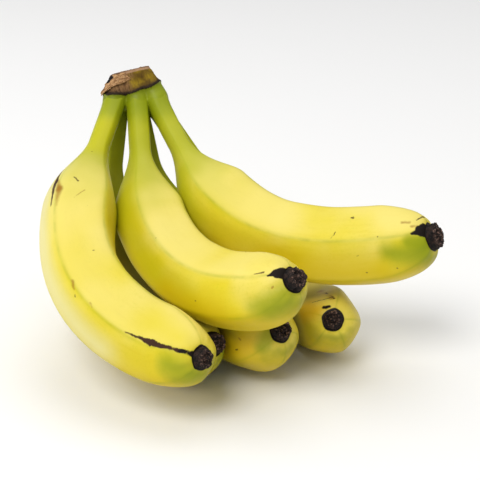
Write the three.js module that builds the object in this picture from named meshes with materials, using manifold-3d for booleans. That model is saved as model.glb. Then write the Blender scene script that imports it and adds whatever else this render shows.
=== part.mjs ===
// A bunch of six bananas on one cut crown, lying on the bellies of its back row.
// Millimetres, +Z up. Looking along +Y, +X is to the right, and the flower ends point right and forwards.
//
// Each finger grows from its own place on the crown, and is swung about that place until it leans on its
// neighbours. The first one, in the middle of the back row, sets how high the crown stands above the table,
// and the other two of the back row are swung until they lie on the table too.

import * as THREE from 'three';
import { ConvexGeometry } from 'three/addons/geometries/ConvexGeometry.js';
import { mergeVertices } from 'three/addons/utils/BufferGeometryUtils.js';
import Module from 'manifold-3d';

// ---- Sizes that all fingers share ----

const FINGER_LENGTH = 190; // along the middle line, from the crown to the flower scar
const BODY_RADIUS = 18; // mean radius of the thick part
const STEM_RADIUS = 5.8;
const STEM_LENGTH = 30; // the thin stretch below the crown
const NECK_LENGTH = 42; // over which the stem widens to the body
const TIP_LENGTH = 27; // over which the body closes to the flower scar
const SCAR_RADIUS = 6; // the flat scar that carries the dried flower end
const BEND_SHARE = 0.84; // share of the length over which a finger bends
const TIP_BEND_LENGTH = 34; // the last stretch, where a finger may turn further
const TIP_STRAIGHT = 4; // straight again before the scar

// ---- Cross-section: a pentagon with round corners ----

const FACE_ANGLES = [0, 82, 147, -147, -82]; // outward, in degrees from the inside of the bend
const FACE_FLATNESS = 7; // higher makes flatter faces and sharper ridges
const END_RIDGES = 0.45; // share of the pentagon that the stem and the scar keep

// ---- Dried flower ends ----

const FLOWER_RADIUS = 5.6;
const FLOWER_LENGTH = 5.5;
const FLOWER_PROFILE = [[0, 0], [0.94, 0], [1, 0.35], [0.86, 0.8], [0.5, 1], [0, 1]]; // shares, out and along
const FLOWER_SIDES = 10;

// ---- Crown ----

const STEM_GAP = 0.8; // between neighbouring stems where they leave the crown
const ROW_DIRECTION = { heading: 6.6, rise: 1.4 }; // from the left stem of a row to the right one
const BACK_DIRECTION = { heading: 96.7, rise: -34.1 }; // from the front row to the back row
const SKIN_DEPTH = 2.5; // how far the crown's skin reaches down the stems
const SKIN_THICKNESS = 1; // outside the outer stems
const CUT_DIRECTION = { heading: 125, rise: 65 }; // the way the cut face looks
const CUT_HEIGHT = 17.5; // from the middle of the stems to the cut face
const CUT_HALF_WIDTH = 10.5; // along the rows
const CUT_HALF_DEPTH = 9; // across the rows

// ---- Fit ----

const CLEARANCE = 0.3; // left between pieces that touch
const PRESS = 0.4; // how far neighbouring fingers flatten each other
const REST_DEPTH = 0.4; // how far a belly flattens on the table

// ---- Mesh ----

const BODY_RINGS = 32;
const TIP_RINGS = 8;
const RING_SIDES = 20;
const CUT_SIDES = 14;
const STEPS_PER_RING = 6; // finer steps of the middle line inside each ring interval
const LEAN_PASSES = 12;

// ---- Fingers, in the order they are placed ----
// column and row: place on the crown. heading and rise: where the stem points. roll: turns the bend about
// the stem. curl and sway: total bend, in the bend's plane and out of it. bendAt: middle of the bend, as a
// share of the length. ridgeTurn: turns the ridges about the finger. tipCurl and tipSway: how much further
// the tip turns. longer and thicker: added to the shared sizes. leansOn: neighbours that it touches. Angles
// are in degrees.

const FINGERS = [
  {
    name: 'back_middle', column: 0, row: 1, heading: -54.4, rise: -69.8, roll: 3.2,
    curl: 89, sway: 0.9, bendAt: 0.543, ridgeTurn: 2.3, tipCurl: 15.6, tipSway: -1.1,
    longer: 4.3, thicker: 0.4, leansOn: [],
  },
  {
    name: 'back_left', column: -1, row: 1, heading: -95.82, rise: -60.83, roll: -46.99,
    curl: 94, sway: -3.2, bendAt: 0.628, ridgeTurn: 6.8, tipCurl: 11.4, tipSway: -3.2,
    longer: -4.1, thicker: -0.7,
    leansOn: ['back_middle'],
  },
  {
    name: 'back_right', column: 1, row: 1, heading: -21.31, rise: -56.86, roll: 43.41,
    curl: 107.3, sway: 2.2, bendAt: 0.679, ridgeTurn: -8.4, tipCurl: 8.2, tipSway: 9.8,
    longer: 6.4, thicker: -1.3,
    leansOn: ['back_middle'],
  },
  {
    name: 'front_middle', column: 0, row: 0, heading: -83.33, rise: -43.42, roll: -60.84,
    curl: 80.4, sway: 15.2, bendAt: 0.578, ridgeTurn: -34.6, tipCurl: 10.6, tipSway: 12.5,
    longer: -4.5, thicker: -0.3,
    leansOn: ['back_middle', 'back_left'],
  },
  {
    name: 'front_left', column: -1, row: 0, heading: -103.45, rise: -30.61, roll: -100.96,
    curl: 90.9, sway: 1.1, bendAt: 0.651, ridgeTurn: 8.9, tipCurl: -21.9, tipSway: 38.5,
    longer: 3, thicker: 0.5,
    leansOn: ['front_middle', 'back_left'],
  },
  {
    name: 'front_right', column: 1, row: 0, heading: -61.21, rise: -39.38, roll: -47.5,
    curl: 69.8, sway: -7.2, bendAt: 0.503, ridgeTurn: -25.1, tipCurl: 2.9, tipSway: 19.9,
    longer: -1.2, thicker: 0.4,
    leansOn: ['front_middle'],
  },
];
const BACK_ROW = 1;

// ---- Colours ----

const PEEL = new THREE.MeshStandardMaterial({ color: 0xf0db5e, roughness: 0.5, metalness: 0 });
const SHADED_PEEL = new THREE.MeshStandardMaterial({ color: 0xb8a42e, roughness: 0.55, metalness: 0 });
const CROWN_SKIN = new THREE.MeshStandardMaterial({ color: 0x6c5628, roughness: 0.8, metalness: 0 });
const DRIED_FLOWER = new THREE.MeshStandardMaterial({ color: 0x2b2413, roughness: 0.95, metalness: 0 });

const DOWN = new THREE.Vector3(0, 0, -1);
const { degToRad, smoothstep, lerp } = THREE.MathUtils;
const wasm = await Module();
wasm.setup();

// ---- Directions and the crown's layout ----

function direction({ heading, rise }) {
  const level = Math.cos(degToRad(rise));
  return new THREE.Vector3(
    level * Math.cos(degToRad(heading)),
    level * Math.sin(degToRad(heading)),
    Math.sin(degToRad(rise)),
  );
}

const rowStep = direction(ROW_DIRECTION);
const backStep = direction(BACK_DIRECTION);
backStep.addScaledVector(rowStep, -backStep.dot(rowStep)).normalize();
const stemPitch = 2 * STEM_RADIUS + STEM_GAP;

// The middle of the stems at the crown is the origin until the bunch is finished.
function rootPlace({ column, row }) {
  return new THREE.Vector3()
    .addScaledVector(rowStep, column * stemPitch)
    .addScaledVector(backStep, (row - 0.5) * stemPitch);
}

// Turns local axes into a stem's: z along the stem, x towards the inside of the bend.
function stemTurn({ heading, rise, roll }) {
  const along = direction({ heading, rise });
  const level = new THREE.Vector3().crossVectors(along, new THREE.Vector3(0, 0, 1)).normalize();
  const upper = new THREE.Vector3().crossVectors(level, along);
  const inside = upper.multiplyScalar(Math.cos(degToRad(roll)));
  inside.addScaledVector(level, Math.sin(degToRad(roll)));
  const side = new THREE.Vector3().crossVectors(along, inside);
  return new THREE.Quaternion().setFromRotationMatrix(new THREE.Matrix4().makeBasis(inside, side, along));
}

// ---- Finger shape ----

function rawSection(angle) {
  let sum = 0;
  for (const face of FACE_ANGLES) {
    sum += Math.max(0, Math.cos(angle - degToRad(face))) ** FACE_FLATNESS;
  }
  return sum ** (-1 / FACE_FLATNESS);
}

const SECTION_SAMPLES = 360;
let sectionMean = 0;
for (let k = 0; k < SECTION_SAMPLES; k += 1) {
  sectionMean += rawSection((2 * Math.PI * k) / SECTION_SAMPLES) / SECTION_SAMPLES;
}

// Distance from the middle line to the skin, for a mean radius of 1.
function section(angle, ridges) {
  return lerp(1, rawSection(angle) / sectionMean, ridges);
}

function meanRadius(finger, s) {
  const body = BODY_RADIUS + finger.thicker;
  const neck = lerp(STEM_RADIUS, body, smoothstep(s, STEM_LENGTH, STEM_LENGTH + NECK_LENGTH));
  const toEnd = THREE.MathUtils.clamp((finger.length - s) / TIP_LENGTH, 0, 1);
  const tip = SCAR_RADIUS + (body - SCAR_RADIUS) * Math.sqrt(1 - (1 - toEnd) ** 2);
  return Math.min(neck, tip);
}

function ridgeShare(finger, s) {
  const grown = smoothstep(s, STEM_LENGTH, STEM_LENGTH + NECK_LENGTH);
  const kept = smoothstep(finger.length - s, 0, TIP_LENGTH / 2);
  return lerp(END_RIDGES, 1, Math.min(grown, kept));
}

// Places along the finger where a ring of vertices goes, closer together in the rounded tip.
function ringPlaces(finger) {
  const bodyEnd = finger.length - TIP_LENGTH;
  const places = [];
  for (let k = 0; k < BODY_RINGS; k += 1) {
    places.push((bodyEnd * k) / BODY_RINGS);
  }
  for (let k = 0; k <= TIP_RINGS; k += 1) {
    places.push(bodyEnd + TIP_LENGTH * Math.sin((k / TIP_RINGS) * (Math.PI / 2)));
  }
  return places;
}

// The middle line in the stem's axes: a point, the way along, the inside of the bend and the side there.
function middleLine(finger) {
  const point = new THREE.Vector3();
  const frameAt = (s) => {
    const start = finger.bendAt - BEND_SHARE / 2;
    const bent = smoothstep(s / finger.length, start, start + BEND_SHARE);
    const toEnd = finger.length - s;
    const tipBent = 1 - smoothstep(toEnd, TIP_STRAIGHT, TIP_BEND_LENGTH);
    const curl = degToRad(finger.curl * bent + finger.tipCurl * tipBent);
    const sway = degToRad(finger.sway * bent + finger.tipSway * tipBent);
    const along = new THREE.Vector3(Math.sin(curl), 0, Math.cos(curl)).multiplyScalar(Math.cos(sway));
    along.y = Math.sin(sway);
    const inside = new THREE.Vector3(Math.cos(curl), 0, -Math.sin(curl));
    inside.applyAxisAngle(along, degToRad(finger.ridgeTurn));
    return { along, inside, side: new THREE.Vector3().crossVectors(along, inside) };
  };
  const places = ringPlaces(finger);
  return places.map((s, k) => {
    const before = k === 0 ? s : places[k - 1];
    const step = (s - before) / STEPS_PER_RING;
    for (let m = 0.5; m < STEPS_PER_RING; m += 1) {
      point.addScaledVector(frameAt(before + m * step).along, step);
    }
    return { s, point: point.clone(), ...frameAt(s) };
  });
}

// A closed skin through rings of equal count, with a flat fan over each end.
function skinOver(rings) {
  const sides = rings[0].length;
  const positions = rings.flat().flatMap((p) => [p.x, p.y, p.z]);
  const index = [];
  for (let ring = 0; ring + 1 < rings.length; ring += 1) {
    for (let k = 0; k < sides; k += 1) {
      const here = ring * sides + k;
      const next = ring * sides + ((k + 1) % sides);
      index.push(here, next, next + sides, here, next + sides, here + sides);
    }
  }
  const last = (rings.length - 1) * sides;
  for (let k = 1; k + 1 < sides; k += 1) {
    index.push(0, k + 1, k);
    index.push(last, last + k, last + k + 1);
  }
  const geometry = new THREE.BufferGeometry();
  geometry.setAttribute('position', new THREE.Float32BufferAttribute(positions, 3));
  geometry.setIndex(index);
  return geometry;
}

// The finger in its stem's axes, swollen by grow on every side.
function fingerGeometry(finger, grow = 0) {
  const rings = finger.line.map(({ s, point, along, inside, side }, ringNumber) => {
    const ring = [];
    const atEnd = ringNumber === 0 ? -grow : Number(ringNumber === finger.line.length - 1) * grow;
    for (let k = 0; k < RING_SIDES; k += 1) {
      const angle = (2 * Math.PI * k) / RING_SIDES;
      const reach = meanRadius(finger, s) * section(angle, ridgeShare(finger, s)) + grow;
      ring.push(
        point.clone()
          .addScaledVector(inside, reach * Math.cos(angle))
          .addScaledVector(side, reach * Math.sin(angle))
          .addScaledVector(along, atEnd),
      );
    }
    return ring;
  });
  return skinOver(rings);
}

function flowerGeometry(finger) {
  const { point, along } = finger.line.at(-1);
  const profile = FLOWER_PROFILE.map(([out, up]) => new THREE.Vector2(out * FLOWER_RADIUS, up * FLOWER_LENGTH));
  const geometry = new THREE.LatheGeometry(profile, FLOWER_SIDES);
  geometry.applyQuaternion(new THREE.Quaternion().setFromUnitVectors(new THREE.Vector3(0, 1, 0), along));
  const seat = point.clone().addScaledVector(along, CLEARANCE);
  return geometry.translate(seat.x, seat.y, seat.z);
}

// ---- Leaning the fingers on each other and setting the bunch down ----

const toBunch = (finger, local) => local.clone().applyQuaternion(finger.turn).add(finger.root);

// Stations along a finger in the bunch's frame, with the flower end as one more station.
function stations(finger) {
  const line = finger.line.map((station) => ({
    point: toBunch(finger, station.point),
    inside: station.inside.clone().applyQuaternion(finger.turn),
    side: station.side.clone().applyQuaternion(finger.turn),
    radius: meanRadius(finger, station.s),
    ridges: ridgeShare(finger, station.s),
  }));
  const end = line.at(-1);
  const along = new THREE.Vector3().crossVectors(end.inside, end.side);
  const flower = end.point.clone().addScaledVector(along, FLOWER_LENGTH / 2);
  return [...line, { ...end, point: flower, radius: FLOWER_RADIUS, ridges: 0 }];
}

function reachTowards(station, way) {
  const angle = Math.atan2(way.dot(station.side), way.dot(station.inside));
  return station.radius * section(angle, station.ridges);
}

// The closest stations of two fingers' free lengths: the gap between skins, and where and which way it is.
function closest(finger, neighbour) {
  let best = { gap: Infinity };
  for (const a of stations(finger)) {
    for (const b of stations(neighbour)) {
      const way = b.point.clone().sub(a.point);
      const distance = way.length();
      if (distance - a.radius - b.radius - PRESS > best.gap) continue;
      way.divideScalar(distance);
      const gap = distance - reachTowards(a, way) - reachTowards(b, way.clone().negate());
      const free = a.radius + b.radius > 3 * STEM_RADIUS;
      if (free && gap < best.gap) best = { gap, way, place: a.point };
    }
  }
  return best;
}

function lowestPlace(finger) {
  let lowest = new THREE.Vector3(0, 0, Infinity);
  for (const station of stations(finger)) {
    const foot = station.point.clone().addScaledVector(DOWN, reachTowards(station, DOWN));
    if (foot.z < lowest.z) lowest = foot;
  }
  return lowest;
}

// Swings a finger about its root so that the given place on it travels the given way.
function swing(finger, place, way, travel) {
  const arm = place.clone().sub(finger.root);
  const axis = new THREE.Vector3().crossVectors(arm, way);
  const angle = travel / axis.length();
  finger.turn.premultiply(new THREE.Quaternion().setFromAxisAngle(axis.normalize(), angle));
}

// Swings a finger until it presses just enough on each neighbour that it leans on, and no deeper on any
// other one. A finger of the back row is swung onto the table too.
function lean(finger, placed, tableHeight) {
  for (let pass = 0; pass < LEAN_PASSES; pass += 1) {
    for (const neighbour of placed) {
      const { gap, way, place } = closest(finger, neighbour);
      const travel = gap + PRESS;
      if (travel < 0 || finger.leansOn.includes(neighbour.name)) swing(finger, place, way, travel);
    }
    if (finger.row === BACK_ROW) {
      const foot = lowestPlace(finger);
      swing(finger, foot, DOWN, foot.z - (tableHeight - REST_DEPTH));
    }
  }
}

// ---- Solids ----

function toSolid(geometry) {
  const bare = new THREE.BufferGeometry().setAttribute('position', geometry.getAttribute('position'));
  bare.setIndex(geometry.index);
  const merged = mergeVertices(bare, 1e-4);
  return new wasm.Manifold(new wasm.Mesh({
    numProp: 3,
    vertProperties: new Float32Array(merged.attributes.position.array),
    triVerts: new Uint32Array(merged.index.array),
  }));
}

function toGeometry(solid) {
  const { vertProperties, triVerts } = solid.getMesh();
  const geometry = new THREE.BufferGeometry();
  geometry.setAttribute('position', new THREE.Float32BufferAttribute(vertProperties, 3));
  geometry.setIndex(new THREE.Uint32BufferAttribute(triVerts, 1));
  return geometry;
}

function inBunch(finger, geometry) {
  return geometry.applyQuaternion(finger.turn).translate(finger.root.x, finger.root.y, finger.root.z);
}

const fingerSolid = (finger, grow) => toSolid(inBunch(finger, fingerGeometry(finger, grow)));

// The crown before its sockets are cut: the hull of the skin around each stem and the cut face.
function crownHull(fingers) {
  const points = [];
  const looks = direction(CUT_DIRECTION);
  const wide = rowStep.clone().addScaledVector(looks, -rowStep.dot(looks)).normalize();
  const deep = new THREE.Vector3().crossVectors(looks, wide);
  for (let k = 0; k < CUT_SIDES; k += 1) {
    const angle = (2 * Math.PI * k) / CUT_SIDES;
    points.push(
      looks.clone().multiplyScalar(CUT_HEIGHT)
        .addScaledVector(wide, CUT_HALF_WIDTH * Math.cos(angle))
        .addScaledVector(deep, CUT_HALF_DEPTH * Math.sin(angle)),
    );
  }
  for (const finger of fingers) {
    for (const depth of [0, SKIN_DEPTH]) {
      for (let k = 0; k < RING_SIDES; k += 2) {
        const angle = (2 * Math.PI * k) / RING_SIDES;
        const out = STEM_RADIUS + SKIN_THICKNESS;
        points.push(toBunch(finger, new THREE.Vector3(out * Math.cos(angle), out * Math.sin(angle), depth)));
      }
    }
  }
  return toSolid(new ConvexGeometry(points));
}

// ---- The bunch ----

function placeFingers() {
  const placed = [];
  let tableHeight;
  for (const spec of FINGERS) {
    const finger = { ...spec, length: FINGER_LENGTH + spec.longer, root: rootPlace(spec), turn: stemTurn(spec) };
    finger.line = middleLine(finger);
    tableHeight ??= lowestPlace(finger).z + REST_DEPTH;
    lean(finger, placed, tableHeight);
    placed.push(finger);
  }
  return { placed, tableHeight };
}

function makeBunch() {
  const { placed, tableHeight } = placeFingers();
  const bunch = new THREE.Group();
  const add = (name, solid, material) => {
    const mesh = new THREE.Mesh(toGeometry(solid.trimByPlane([0, 0, 1], tableHeight)), material);
    mesh.name = name;
    bunch.add(mesh);
  };
  const clearOf = (solid, others) => others.reduce((rest, other) => rest.subtract(other.grown), solid);
  for (const finger of placed) finger.grown = fingerSolid(finger, CLEARANCE);

  add('crown', clearOf(crownHull(placed), placed), CROWN_SKIN);
  placed.forEach((finger, order) => {
    const body = clearOf(fingerSolid(finger, 0), placed.slice(0, order));
    add(`banana_${finger.name}`, body, finger.row === BACK_ROW ? SHADED_PEEL : PEEL);
  });
  for (const finger of placed) {
    const flower = toSolid(inBunch(finger, flowerGeometry(finger)));
    const others = placed.filter((other) => other !== finger);
    add(`flower_end_${finger.name}`, clearOf(flower, others), DRIED_FLOWER);
  }

  // The origin is on the table under the middle of the bunch.
  const centre = new THREE.Box3().setFromObject(bunch).getCenter(new THREE.Vector3());
  bunch.position.set(-centre.x, -centre.y, -tableHeight);
  return bunch;
}

const bunch = makeBunch();

export default bunch;
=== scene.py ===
"""A bunch of six bananas on one cut crown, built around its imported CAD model.

The first part repeats the CAD model's driving sizes, in millimetres, and grows each finger again as a fine
mesh. The second part models the dried flower ends, the crown and the strip of skin torn from it. The third
part paints everything with node materials that follow each finger's own length and ridges. The last part
sets floor, lights and camera.
"""

import math

import bpy
import numpy as np
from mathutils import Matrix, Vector, noise
from mathutils.bvhtree import BVHTree


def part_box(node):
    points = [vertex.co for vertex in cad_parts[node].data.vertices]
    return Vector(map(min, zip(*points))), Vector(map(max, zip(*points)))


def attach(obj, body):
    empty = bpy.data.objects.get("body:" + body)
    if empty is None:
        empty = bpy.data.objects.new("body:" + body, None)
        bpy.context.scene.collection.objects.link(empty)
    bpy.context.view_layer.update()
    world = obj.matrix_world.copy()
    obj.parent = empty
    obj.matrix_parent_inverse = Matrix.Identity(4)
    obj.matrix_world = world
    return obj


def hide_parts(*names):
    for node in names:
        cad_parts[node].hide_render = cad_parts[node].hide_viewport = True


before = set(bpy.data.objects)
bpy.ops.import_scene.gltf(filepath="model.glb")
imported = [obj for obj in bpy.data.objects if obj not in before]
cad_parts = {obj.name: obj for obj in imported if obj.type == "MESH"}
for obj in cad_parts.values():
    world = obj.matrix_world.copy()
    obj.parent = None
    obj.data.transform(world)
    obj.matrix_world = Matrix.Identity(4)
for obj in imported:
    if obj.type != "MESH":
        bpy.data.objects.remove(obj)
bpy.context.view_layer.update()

MM = 0.001

# ---- Driving sizes, in millimetres and degrees, as in the CAD model ----

FINGER_LENGTH = 190
BODY_RADIUS = 18
STEM_RADIUS = 5.8
STEM_LENGTH = 30
NECK_LENGTH = 42
TIP_LENGTH = 27
SCAR_RADIUS = 6
BEND_SHARE = 0.84
TIP_BEND_LENGTH = 34
TIP_STRAIGHT = 4
FACE_ANGLES = (0, 82, 147, -147, -82)
RIDGE_ANGLES = (41, 114.5, 180, -114.5, -41)
FACE_FLATNESS = 7
END_RIDGES = 0.45
STEM_RIDGES = 0.25
FLOWER_RADIUS = 5.6
FLOWER_LENGTH = 5.5
STEM_GAP = 0.8
ROW_DIRECTION = (6.6, 1.4)
BACK_DIRECTION = (96.7, -34.1)
CUT_DIRECTION = (125, 65)
CUT_HEIGHT = 17.5
CUT_HALF_WIDTH = 10.5
CUT_HALF_DEPTH = 9

# column, row, heading, rise, roll, curl, sway, bend at, ridge turn, tip curl, tip sway, longer, thicker
FINGERS = {
    "back_middle": (0, 1, -54.4, -69.8, 3.2, 89, 0.9, 0.543, 2.3, 15.6, -1.1, 4.3, 0.4),
    "back_left": (-1, 1, -95.82, -60.83, -46.99, 94, -3.2, 0.628, 6.8, 11.4, -3.2, -4.1, -0.7),
    "back_right": (1, 1, -21.31, -56.86, 43.41, 107.3, 2.2, 0.679, -8.4, 8.2, 9.8, 6.4, -1.3),
    "front_middle": (0, 0, -83.33, -43.42, -60.84, 80.4, 15.2, 0.578, -34.6, 10.6, 12.5, -4.5, -0.3),
    "front_left": (-1, 0, -103.45, -30.61, -100.96, 90.9, 1.1, 0.651, 8.9, -21.9, 38.5, 3, 0.5),
    "front_right": (1, 0, -61.21, -39.38, -47.5, 69.8, -7.2, 0.503, -25.1, 2.9, 19.9, -1.2, 0.4),
}

# ---- Sizes that only the visible model has ----

# How far the crown squeezes each stem along its row at the top
SQUEEZE = {"front_left": 0.5, "back_left": 1.6, "front_right": -2.3, "back_right": -2.3}
SQUEEZED_LENGTH = 48
# Each flower scar's share of SCAR_RADIUS
SCAR_SHARE = {"front_left": 0.84, "front_middle": 0.94, "front_right": 1.06, "back_left": 0.9,
              "back_middle": 0.84, "back_right": 0.8}

BODY_RINGS = 230
TIP_RINGS = 46
RING_SIDES = 112
RING_ANGLES = np.linspace(-180, 180, RING_SIDES, endpoint=False)
LINE_STEPS = 4  # taken between two rings when the middle line is summed up

NOISE_FALL = 0.6  # fractal dimension and lacunarity of the noise that shapes the meshes
NOISE_STEP = 2.1
SEED_STEP = 11.3  # between the noise of one finger and the next
SEED_SLANT = 0.37


def smoothstep(x, low, high):
    t = np.clip((x - low) / (high - low), 0, 1)
    return t * t * (3 - 2 * t)


def lerp(a, b, t):
    return a + (b - a) * t


def direction(heading, rise):
    h, r = math.radians(heading), math.radians(rise)
    return np.array([math.cos(r) * math.cos(h), math.cos(r) * math.sin(h), math.sin(r)])


def unit(v):
    return v / np.linalg.norm(v)


row_step = direction(*ROW_DIRECTION)
back_step = direction(*BACK_DIRECTION)
back_step = unit(back_step - back_step.dot(row_step) * row_step)
stem_pitch = 2 * STEM_RADIUS + STEM_GAP
cut_looks = direction(*CUT_DIRECTION)
cut_wide = unit(row_step - row_step.dot(cut_looks) * cut_looks)
cut_deep = np.cross(cut_looks, cut_wide)


def noise_at(points, size, seed=0.0, octaves=2):
    """Smooth noise near -1 to 1 at each point, with features of the given size in the points' own unit."""
    out = np.empty(len(points))
    for k, p in enumerate(points / size):
        moved = (p[0] + seed, p[1] - seed, p[2] + SEED_SLANT * seed)
        out[k] = noise.fractal(moved, NOISE_FALL, NOISE_STEP, octaves)
    return out


# ---- Fingers ----

class Finger:
    """One banana's middle line and its radius, in millimetres from the crown's middle."""

    def __init__(self, name, order):
        (column, row, heading, rise, roll, self.curl, self.sway, self.bend_at, self.ridge_turn,
         self.tip_curl, self.tip_sway, longer, thicker) = FINGERS[name]
        self.name = name
        self.seed = SEED_STEP * (order + 1)
        self.length = FINGER_LENGTH + longer
        self.body = BODY_RADIUS + thicker
        self.scar = SCAR_RADIUS * SCAR_SHARE[name]
        self.root = column * stem_pitch * row_step + (row - 0.5) * stem_pitch * back_step
        along = direction(heading, rise)
        level = unit(np.cross(along, [0, 0, 1]))
        upper = np.cross(level, along)
        inside = upper * math.cos(math.radians(roll)) + level * math.sin(math.radians(roll))
        self.turn = np.array([inside, np.cross(along, inside), along]).T  # columns are the stem's x, y, z
        self.lay_line()

    def axes_at(self, s):
        """The line's direction, the inside of its bend and its side, at each distance from the crown."""
        start = self.bend_at - BEND_SHARE / 2
        bent = smoothstep(s / self.length, start, start + BEND_SHARE)
        tip_bent = 1 - smoothstep(self.length - s, TIP_STRAIGHT, TIP_BEND_LENGTH)
        curl = np.radians(self.curl * bent + self.tip_curl * tip_bent)
        sway = np.radians(self.sway * bent + self.tip_sway * tip_bent)
        zero = np.zeros_like(s)
        along = np.stack([np.sin(curl) * np.cos(sway), np.sin(sway), np.cos(curl) * np.cos(sway)], -1)
        flat = np.stack([np.cos(curl), zero, -np.sin(curl)], -1)
        ridge = math.radians(self.ridge_turn)
        # Rodrigues' turn of flat about along
        inside = (flat * math.cos(ridge) + np.cross(along, flat) * math.sin(ridge)
                  + along * (along * flat).sum(-1, keepdims=True) * (1 - math.cos(ridge)))
        return along, inside, np.cross(along, inside)

    def lay_line(self):
        """The rings' places and axes, and how far along the skin each lies from the crown."""
        body_end = self.length - TIP_LENGTH
        body = np.linspace(0, body_end, BODY_RINGS, endpoint=False)
        tip = body_end + TIP_LENGTH * np.sin(np.linspace(0, math.pi / 2, TIP_RINGS))
        self.s = np.concatenate([body, tip])
        fine = np.linspace(self.s[:-1], self.s[1:], LINE_STEPS + 1).T
        steps = np.diff(fine, axis=1)
        middles = (fine[:, 1:] + fine[:, :-1]) / 2
        moves = (self.axes_at(middles)[0] * steps[..., None]).sum(1)
        line = np.concatenate([np.zeros((1, 3)), np.cumsum(moves, 0)])
        along, inside, side = self.axes_at(self.s)
        squeezed = SQUEEZE.get(self.name, 0) * (1 - smoothstep(self.s, 0, SQUEEZED_LENGTH))
        self.line = line @ self.turn.T + self.root + row_step * squeezed[:, None]
        self.along, self.inside, self.side = (v @ self.turn.T for v in (along, inside, side))
        skin_steps = np.hypot(np.diff(self.s), np.diff(self.mean_radius(self.s)))
        self.skin = np.concatenate([[0], np.cumsum(skin_steps)])

    def mean_radius(self, s):
        neck = lerp(STEM_RADIUS, self.body, smoothstep(s, STEM_LENGTH, STEM_LENGTH + NECK_LENGTH))
        to_end = np.clip((self.length - s) / TIP_LENGTH, 0, 1)
        tip = self.scar + (self.body - self.scar) * np.sqrt(1 - (1 - to_end) ** 2)
        return np.minimum(neck, tip)

    def ridge_share(self, s):
        grown = lerp(STEM_RIDGES, 1, smoothstep(s, STEM_LENGTH, STEM_LENGTH + NECK_LENGTH))
        kept = lerp(END_RIDGES, 1, smoothstep(self.length - s, 0, TIP_LENGTH))
        return np.minimum(grown, kept)

    def reach(self, s, rad):
        """From the line to the skin of the CAD section, at an angle in radians."""
        return self.mean_radius(s) * lerp(1, raw_section(rad) / SECTION_MEAN, self.ridge_share(s))


def raw_section(rad):
    faces = np.maximum(0, np.cos(rad[..., None] - np.radians(FACE_ANGLES))) ** FACE_FLATNESS
    return faces.sum(-1) ** (-1 / FACE_FLATNESS)


SECTION_MEAN = raw_section(np.linspace(0, 2 * math.pi, 360, endpoint=False)).mean()


def ridge_nearness(angle, width):
    """1 on a ridge and 0 away from it, for angles and a width in degrees."""
    away = np.abs((angle[..., None] - np.array(RIDGE_ANGLES) + 180) % 360 - 180).min(-1)
    return np.exp(-(away / width) ** 2)


# The skin's own relief on top of the CAD section, in millimetres and degrees. Pairs say how far from the
# flower end it starts and is full.
RELIEF_END = (0.5, 16)
LUMP_HEIGHT = 0.35
LUMP_SIZE = 28
RIDGE_HEIGHT = 0.45
RIDGE_WIDTH = 5
RIDGE_END = (8, 60)
RIDGE_FADE = 0.35
RIDGE_FADE_LENGTH = 17
STEM_RIB_HEIGHT = 0.15
STEM_RIB_WIDTH = 11
STEM_RIB_END = STEM_LENGTH + 0.8 * NECK_LENGTH
STEM_FLARE = 0.4
STEM_FLARE_LENGTH = 9
RIDGE_MEAN = 0.4  # taken off a relief that follows the ridges, so that the mean radius stays
TIP_PLEATS = 9
TIP_PLEAT_HEIGHT = 0.175
TIP_PLEAT_END = (0, 0.5)
TIP_PLEAT_FADE = (1, 8)


def finger_surface(f):
    """Ring points in the crown's axes, and the same points on a straightened finger."""
    s = np.repeat(f.s[:, None], RING_SIDES, 1)
    to_end = f.length - s
    angle = np.repeat(RING_ANGLES[None], len(f.s), 0)
    rad = np.radians(angle)
    reach = f.reach(s, rad)
    straight = np.stack([reach * np.cos(rad), reach * np.sin(rad), s], -1)
    body = smoothstep(s, STEM_LENGTH, STEM_LENGTH + NECK_LENGTH) * smoothstep(to_end, *RELIEF_END)
    lumps = noise_at(straight.reshape(-1, 3), LUMP_SIZE, f.seed).reshape(s.shape)
    reach += LUMP_HEIGHT * lumps * body
    # a narrow ridge that fades and comes back along the finger
    fade = 1 - RIDGE_FADE + RIDGE_FADE * np.sin(s / RIDGE_FADE_LENGTH + f.seed)
    ridged = body * smoothstep(to_end, *RIDGE_END)
    reach += RIDGE_HEIGHT * fade * ridged * ridge_nearness(angle, RIDGE_WIDTH)
    stem = 1 - smoothstep(s, STEM_LENGTH, STEM_RIB_END)
    reach += STEM_RIB_HEIGHT * stem * (ridge_nearness(angle, STEM_RIB_WIDTH) - RIDGE_MEAN)
    reach += STEM_FLARE * (1 - smoothstep(s, 0, STEM_FLARE_LENGTH))
    # pleats, unevenly spaced, that run into the flower scar
    pleats = np.sin(rad * TIP_PLEATS + f.seed + 1.5 * np.sin(rad * 2))
    near_scar = smoothstep(to_end, *TIP_PLEAT_END) * (1 - smoothstep(to_end, *TIP_PLEAT_FADE))
    reach += TIP_PLEAT_HEIGHT * near_scar * pleats
    points = (f.line[:, None] + f.inside[:, None] * (reach * np.cos(rad))[..., None]
              + f.side[:, None] * (reach * np.sin(rad))[..., None])
    straight = np.stack([reach * np.cos(rad), reach * np.sin(rad), s], -1)
    return points, straight


def ring_faces(rings, sides):
    """Quads between rings that all have the same number of points."""
    faces = []
    for r in range(rings - 1):
        for k in range(sides):
            here, beside = r * sides + k, r * sides + (k + 1) % sides
            faces.append((here, beside, beside + sides, here + sides))
    return faces


def closed_tube_faces(rings, sides):
    last = (rings - 1) * sides
    return ring_faces(rings, sides) + [tuple(range(sides))[::-1], tuple(range(last, last + sides))]


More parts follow.
